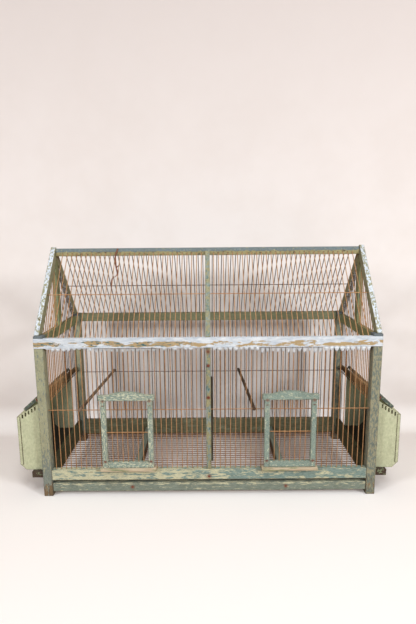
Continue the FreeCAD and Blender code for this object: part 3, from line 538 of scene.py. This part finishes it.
# Grey-brown with long soft streaks, darker at the right
dress("perch_wood", worn_paint(
    "polished grey perches", ("#8A7863", "#5E5043"),
    [coat(("#A39480", "#8A7A66"), 0.25, 9)],
    grain="Y", stretch=6.0, edge=0.1, dirt=0.2, seed=19.0))
dress_piece("right_perch", worn_paint(
    "dark stained perch", ("#5A4836", "#3E3126"),
    [coat(("#75634E", "#5C4C3B"), 0.25, 9)],
    grain="Y", stretch=6.0, edge=0.1, dirt=0.2, seed=23.0))

# %% [markdown]
# ## Wire and iron
#
# The wires are drawn steel that has a skin of rust. At the front the rust is coppery, and towards
# the back it goes dark brown. Rust is not a metal to the eye: it scatters light, so most of the wire
# is rough and only worn spots still shine.

# %% Rusty wire and iron
SPECKLE_SIZE = 5.0
RUST_THICKNESS = 0.1
SHINE_RANGE = (0.3, 0.9)
BRIGHT_ROUGHNESS = 0.45
RUST_ROUGHNESS = 0.8
IRON = ("#8A4A36", "#5E2F25")


def rusty(name, front, back, start, end, metal, seed):
    """Rust that goes from the front's tones to the back's between two depths (mm)."""
    material, tree, place = start_material(name)
    further = ramp(tree, along(tree, place, "Y"), start, end)
    speckle = ramp(tree, noise(tree, place, SPECKLE_SIZE, seed), *NOISE_MIDDLE)
    near = blend(tree, speckle, colour(front[0]), colour(front[1]))
    far = blend(tree, speckle, colour(back[0]), colour(back[1]))
    surface = blend(tree, further, near, far)
    metallic = ramp(tree, speckle, *SHINE_RANGE, metal, 0.0)
    roughness = ramp(tree, speckle, 0.0, 1.0, BRIGHT_ROUGHNESS, RUST_ROUGHNESS)
    bumps = {"Height": speckle, "Strength": 0.4, "Distance": RUST_THICKNESS * MM}
    normal = add(tree, "Bump", bumps).outputs[0]
    finish = {"Base Color": surface, "Metallic": metallic, "Roughness": roughness, "Normal": normal}
    shader = add(tree, "BsdfPrincipled", finish)
    add(tree, "OutputMaterial", {"Surface": shader.outputs[0]})
    return material


# Coppery in front and dark behind, so the two rows of wires come apart
dress("rusty_wire", rusty(
    "drawn steel wire with thin coppery rust", ("#C79D70", "#966E49"), ("#4E3527", "#33211A"),
    start=-10, end=25, metal=0.3, seed=1.0))

# A lighter, shinier brown, which lets the floor look thin
dress("floor_wire", rusty(
    "floor wire rubbed bright in places", ("#AC8266", "#74503A"), ("#906A52", "#5F4230"),
    start=-150, end=150, metal=0.4, seed=2.0))

# Red-brown heads that stand out from the paint
dress("rusty_iron", rusty(
    "dark rusted nails and screws", IRON, IRON, start=-150, end=150, metal=0.2, seed=3.0))

# %% [markdown]
# ## Paint that ran down the wires
#
# The brush left too much paint under the eave rail, and it ran a little way down every front wire
# before it dried. One run is a cone that is wide along the rail and flat across it. It is smoothed
# once, then copied to each wire with its own length. Over the doors the runs hang further back
# and longer, behind the plane that the doors slide in.

# %% Paint runs under the eave rail
FIRST_WIRE = 15.75
WIRE_PITCH = 12.5
WIRES_PER_SIDE = 30
RAIL_FRONT = -167.5
DOOR_BACK = -161.7
DOOR_SPAN = (122.0, 272.0)
RAIL_UNDERSIDE = 377.0
RUN_TIP_SHARE = 0.2
RUN_HALF_WIDTHS = (5.2, 7.2)
RUN_HALF_DEPTH = 2.6
RUN_LENGTHS = (5.0, 11.0)
LONGER_AT_RIGHT = 2.0
LONGER_OVER_DOORS = 5.0
RUN_WANDER = 0.6
RUN_SETBACK = 0.3
RUN_OVERLAP = 0.8
chance = random.Random(4)


def run_pattern():
    """One run of unit size, hanging from the origin."""
    bpy.ops.object.select_all(action="DESELECT")
    bpy.ops.mesh.primitive_cone_add(
        vertices=12, radius1=RUN_TIP_SHARE, radius2=1.0, depth=1.0, location=(0, 0, -0.5))
    shape = bpy.context.object
    bpy.ops.object.transform_apply(location=True, rotation=False, scale=False)
    bpy.ops.object.mode_set(mode="EDIT")
    bpy.ops.mesh.subdivide(number_cuts=2, smoothness=0.4)
    bpy.ops.mesh.vertices_smooth(factor=0.4, repeat=1)
    bpy.ops.mesh.normals_make_consistent(inside=False)
    bpy.ops.object.mode_set(mode="OBJECT")
    bpy.ops.object.shade_smooth()
    return shape


def hang_run(shape, side, number):
    """A copy of the run on one wire, with its own width, length and place."""
    run = shape.copy()
    run.data = shape.data.copy()
    half_width = chance.uniform(*RUN_HALF_WIDTHS)
    length = chance.uniform(*RUN_LENGTHS) + LONGER_AT_RIGHT * side
    reach = FIRST_WIRE + WIRE_PITCH * number + chance.uniform(-RUN_WANDER, RUN_WANDER)
    front = RAIL_FRONT
    if DOOR_SPAN[0] < reach < DOOR_SPAN[1]:
        front = DOOR_BACK
        length += LONGER_OVER_DOORS
    top = Vector((side * reach, front + RUN_HALF_DEPTH + RUN_SETBACK, RAIL_UNDERSIDE + RUN_OVERLAP))
    size = Matrix.Diagonal((half_width * MM, RUN_HALF_DEPTH * MM, length * MM, 1.0))
    run.data.transform(Matrix.Translation(top * MM) @ size)
    bpy.context.scene.collection.objects.link(run)
    return run


def join(pieces, name):
    """One object of all the pieces."""
    bpy.ops.object.select_all(action="DESELECT")
    for piece in pieces:
        piece.select_set(True)
    bpy.context.view_layer.objects.active = pieces[0]
    bpy.ops.object.join()
    joined = bpy.context.object
    joined.name = name
    return joined


pattern = run_pattern()
runs = [hang_run(pattern, side, number) for side in (-1, 1) for number in range(WIRES_PER_SIDE)]
bpy.data.objects.remove(pattern)
paint_runs = join(runs, "paint_runs")

# Thick clean white, which catches the light like icing
paint_runs.data.materials.append(worn_paint(
    "white paint dried in runs", WHITE,
    [coat(("#E8F0F5", "#C6D3DE"), 0.7, 5)],
    grain="Z", stretch=2.0, edge=0.0, dirt=0.05, seed=25.0, hollow_shade_and_dirt=0.0))
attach(paint_runs, "cage")
print("paint runs:", len(runs))

# %% [markdown]
# ## A dry tendril
#
# A dead climber has caught on the roof. Its stem starts as a small disc at the ridge and is pulled
# from bend to bend with extrude, a little thinner each time. A subdivision rounds the bends.

# %% Tendril on the roof wires
STEM_RADIUS = 2.4
STEM_TAPER = 0.95
STEM = [(-234, -4, 605.5), (-236, -5, 600), (-239, -11, 590), (-240, -17, 582), (-236, -28, 568),
        (-234, -39, 555), (-229, -43, 550), (-228.5, -51, 539), (-236, -55, 534), (-242.5, -57, 531),
        (-241.5, -64, 523), (-242, -69, 516), (-239, -80, 502)]
SHOOT = [(-234, -38, 556), (-230, -36, 561), (-226, -36.5, 563)]


def grow(path):
    """A stem pulled along the bends of a path (mm)."""
    bpy.ops.object.select_all(action="DESELECT")
    bpy.ops.mesh.primitive_circle_add(
        vertices=8, radius=STEM_RADIUS * MM, fill_type="NGON", location=Vector(path[0]) * MM)
    stem = bpy.context.object
    bpy.ops.object.transform_apply(location=True, rotation=False, scale=False)
    bpy.ops.object.mode_set(mode="EDIT")
    bpy.ops.mesh.select_all(action="SELECT")
    for before, after in zip(path, path[1:]):
        step = (Vector(after) - Vector(before)) * MM
        bpy.ops.mesh.extrude_region_move(TRANSFORM_OT_translate={"value": step})
        bpy.ops.transform.resize(value=(STEM_TAPER, STEM_TAPER, STEM_TAPER))
    bpy.ops.mesh.select_all(action="SELECT")
    bpy.ops.mesh.normals_make_consistent(inside=False)
    bpy.ops.object.mode_set(mode="OBJECT")
    rounder = stem.modifiers.new("round", "SUBSURF")
    rounder.levels = 1
    rounder.render_levels = 1
    bpy.ops.object.modifier_apply(modifier="round")
    bpy.ops.object.shade_smooth()
    return stem


tendril = join([grow(path) for path in (STEM, SHOOT)], "dry_tendril")

# Red-brown and flaky, warmer than the wires it hangs on
tendril.data.materials.append(worn_paint(
    "dry bark", ("#7E4A33", "#563222"),
    [coat(("#B26A42", "#8F5032"), 0.4, 6)],
    grain="Z", stretch=3.0, edge=0.1, dirt=0.2, seed=20.0))
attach(tendril, "cage")
print("tendril faces:", len(tendril.data.polygons))

# %% [markdown]
# ## The floor and the wall
#
# The cage stands on pale canvas that sweeps up close behind it. One plane is enough: its back edge
# is pulled up into a wall, and the fold is rounded so no line shows. It is only the stage, so it
# isn't part of the cage.

# %% A sweep of pale canvas
WALL_DEPTH = 0.25
WALL_HEIGHT = 4.0
SWEEP_WIDTH = 8.0
SWEEP_LENGTH = 5.0
FOLD_WIDTH = 0.08
NEAR_THE_EDGE = 0.01
bpy.ops.object.select_all(action="DESELECT")
bpy.ops.mesh.primitive_plane_add(size=1.0, location=(0, 0, 0))
sweep = bpy.context.object
sweep.name = "canvas_sweep"
bpy.ops.object.mode_set(mode="EDIT")
bpy.ops.transform.resize(value=(SWEEP_WIDTH, SWEEP_LENGTH, 1.0))
bpy.ops.transform.translate(value=(0, WALL_DEPTH - SWEEP_LENGTH / 2, 0))
bpy.ops.mesh.select_mode(type="EDGE")
bpy.ops.mesh.select_all(action="DESELECT")
bpy.ops.object.mode_set(mode="OBJECT")
for line in sweep.data.edges:
    ends = [sweep.data.vertices[i].co.y for i in line.vertices]
    line.select = min(ends) > WALL_DEPTH - NEAR_THE_EDGE
bpy.ops.object.mode_set(mode="EDIT")
bpy.ops.mesh.extrude_region_move(TRANSFORM_OT_translate={"value": (0, 0, WALL_HEIGHT)})
bpy.ops.object.mode_set(mode="OBJECT")
fold = sweep.modifiers.new("fold", "BEVEL")
fold.width = FOLD_WIDTH
fold.segments = 12
bpy.ops.object.modifier_apply(modifier="fold")
bpy.ops.object.shade_smooth()
print("canvas faces:", len(sweep.data.polygons), "wall looks along", sweep.data.polygons[-1].normal[:])

# %% [markdown]
# ## The canvas
#
# Primed canvas is off-white, a little cloudy, and matt. To the camera it is pale. What it gives
# back to the cage is less and warmer, as if the room around were brown, so that the shades stay
# deep. It is one-sided: from behind, the eye looks through the wall at the cage.

# %% Primed canvas
THREAD_SIZE = 2.0
CANVAS_CLOUDS = 160.0
CANVAS_TONES = ("#F0EEED", "#EBE8E6")
SHADED_UPPER_WALL = "#CBC5C3"
UPPER_RISE = (450.0, 1400.0)
LIT_FLOOR = "#F7F6F5"
FLOOR_FALL = (80.0, 0.0)
BOUNCE = "#987A64"
THREAD_HEIGHT = 0.3
canvas, tree, place = start_material("primed canvas")
threads = noise(tree, place, THREAD_SIZE, 1.0, 2.0)
clouds = noise(tree, place, CANVAS_CLOUDS, 2.0, 3.0)
height = along(tree, place, "Z")

# Off-white, with painted shade that greys it towards the ceiling and painted light on the floor
tint = ramp(tree, clouds, *NOISE_MIDDLE)
surface = blend(tree, tint, colour(CANVAS_TONES[0]), colour(CANVAS_TONES[1]))
surface = blend(tree, ramp(tree, height, *UPPER_RISE), surface, colour(SHADED_UPPER_WALL))
surface = blend(tree, ramp(tree, height, *FLOOR_FALL), surface, colour(LIT_FLOOR))
seen = add(tree, "LightPath", {}).outputs["Is Camera Ray"]
surface = blend(tree, seen, colour(BOUNCE), surface)

weave = {"Height": threads, "Strength": 0.15, "Distance": THREAD_HEIGHT * MM}
normal = add(tree, "Bump", weave).outputs[0]
shader = add(tree, "BsdfPrincipled", {"Base Color": surface, "Roughness": 0.9, "Normal": normal})
behind = add(tree, "NewGeometry", {}).outputs["Backfacing"]
clear = add(tree, "BsdfTransparent", {})
one_sided = add(tree, "MixShader", {0: behind, 1: shader.outputs[0], 2: clear.outputs[0]})
add(tree, "OutputMaterial", {"Surface": one_sided.outputs[0]})
sweep.data.materials.append(canvas)
print("canvas nodes:", len(tree.nodes))

# %% [markdown]
# ## Light
#
# Two soft lamps, one at each side, do most of the work, as in a photographer's room. The right one
# is a little stronger. A small window in front and a skylight above it fill the faces that look at
# the camera, and a wide faint lamp overhead lights the floor. The room itself gives a dim brown
# light from everywhere, which keeps the shades warm, but the camera sees it pale like the canvas.

# %% Soft studio light
LAMP_AIM = (0, 0, 0.3)
CEILING_SPREAD = 75
ROOM_FILL = (0.11, 0.064, 0.04, 1.0)
ROOM_SEEN = "#F1EBE7"


def lamp(name, size, power, location, target=LAMP_AIM):
    """A square soft lamp (m, W) that looks at a target."""
    light = bpy.data.lights.new(name, "AREA")
    light.size = size
    light.energy = power
    holder = bpy.data.objects.new(name, light)
    holder.location = location
    aim = Vector(target) - Vector(location)
    holder.rotation_euler = aim.to_track_quat("-Z", "Y").to_euler()
    bpy.context.scene.collection.objects.link(holder)
    return holder


lamp("window", size=0.7, power=24.0, location=(0.3, -4.0, 2.0))
lamp("skylight", size=1.0, power=38.0, location=(0.4, -2.2, 3.2))
lamp("left", size=0.8, power=70.0, location=(-2.9, -2.4, 1.7))
lamp("right", size=0.8, power=88.0, location=(2.9, -2.4, 1.7))
ceiling = lamp("ceiling", size=2.4, power=3.5, location=(0, -1.0, 2.4), target=(0, -1.0, 0))
ceiling.data.spread = math.radians(CEILING_SPREAD)
world = bpy.data.worlds.new("room")
bpy.context.scene.world = world
world.use_nodes = True
room = world.node_tree
seen = add(room, "LightPath", {}).outputs["Is Camera Ray"]
tone = blend(room, seen, ROOM_FILL, colour(ROOM_SEEN))
room.links.new(tone, room.nodes["Background"].inputs["Color"])

# %% [markdown]
# ## The camera
#
# The camera was found from the corners of the posts, eaves and ridge. It stands a little over a
# metre in front, just above the ridge, looks slightly down, and leans by half a degree.

# %% Camera
EYE = Vector((3.25, -1202.9, 637.9)) * MM
PITCH = 0.1683
YAW = -0.0025
ROLL = 0.0083
LENS = 26.2
SENSOR = 36.0
forward = Vector((math.sin(YAW) * math.cos(PITCH), math.cos(YAW) * math.cos(PITCH), -math.sin(PITCH)))
level = Vector((math.cos(YAW), -math.sin(YAW), 0))
down = forward.cross(level)
right = math.cos(ROLL) * level + math.sin(ROLL) * down
below = math.cos(ROLL) * down - math.sin(ROLL) * level
turn = Matrix((right, -below, -forward)).transposed()
view = bpy.data.cameras.new("view")
view.sensor_width = SENSOR
view.lens = LENS
camera = bpy.data.objects.new("camera", view)
camera.matrix_world = Matrix.Translation(EYE) @ turn.to_4x4()
bpy.context.scene.collection.objects.link(camera)
bpy.context.scene.camera = camera
bpy.context.scene.view_settings.view_transform = "Standard"
print("camera at", [round(c, 3) for c in EYE])
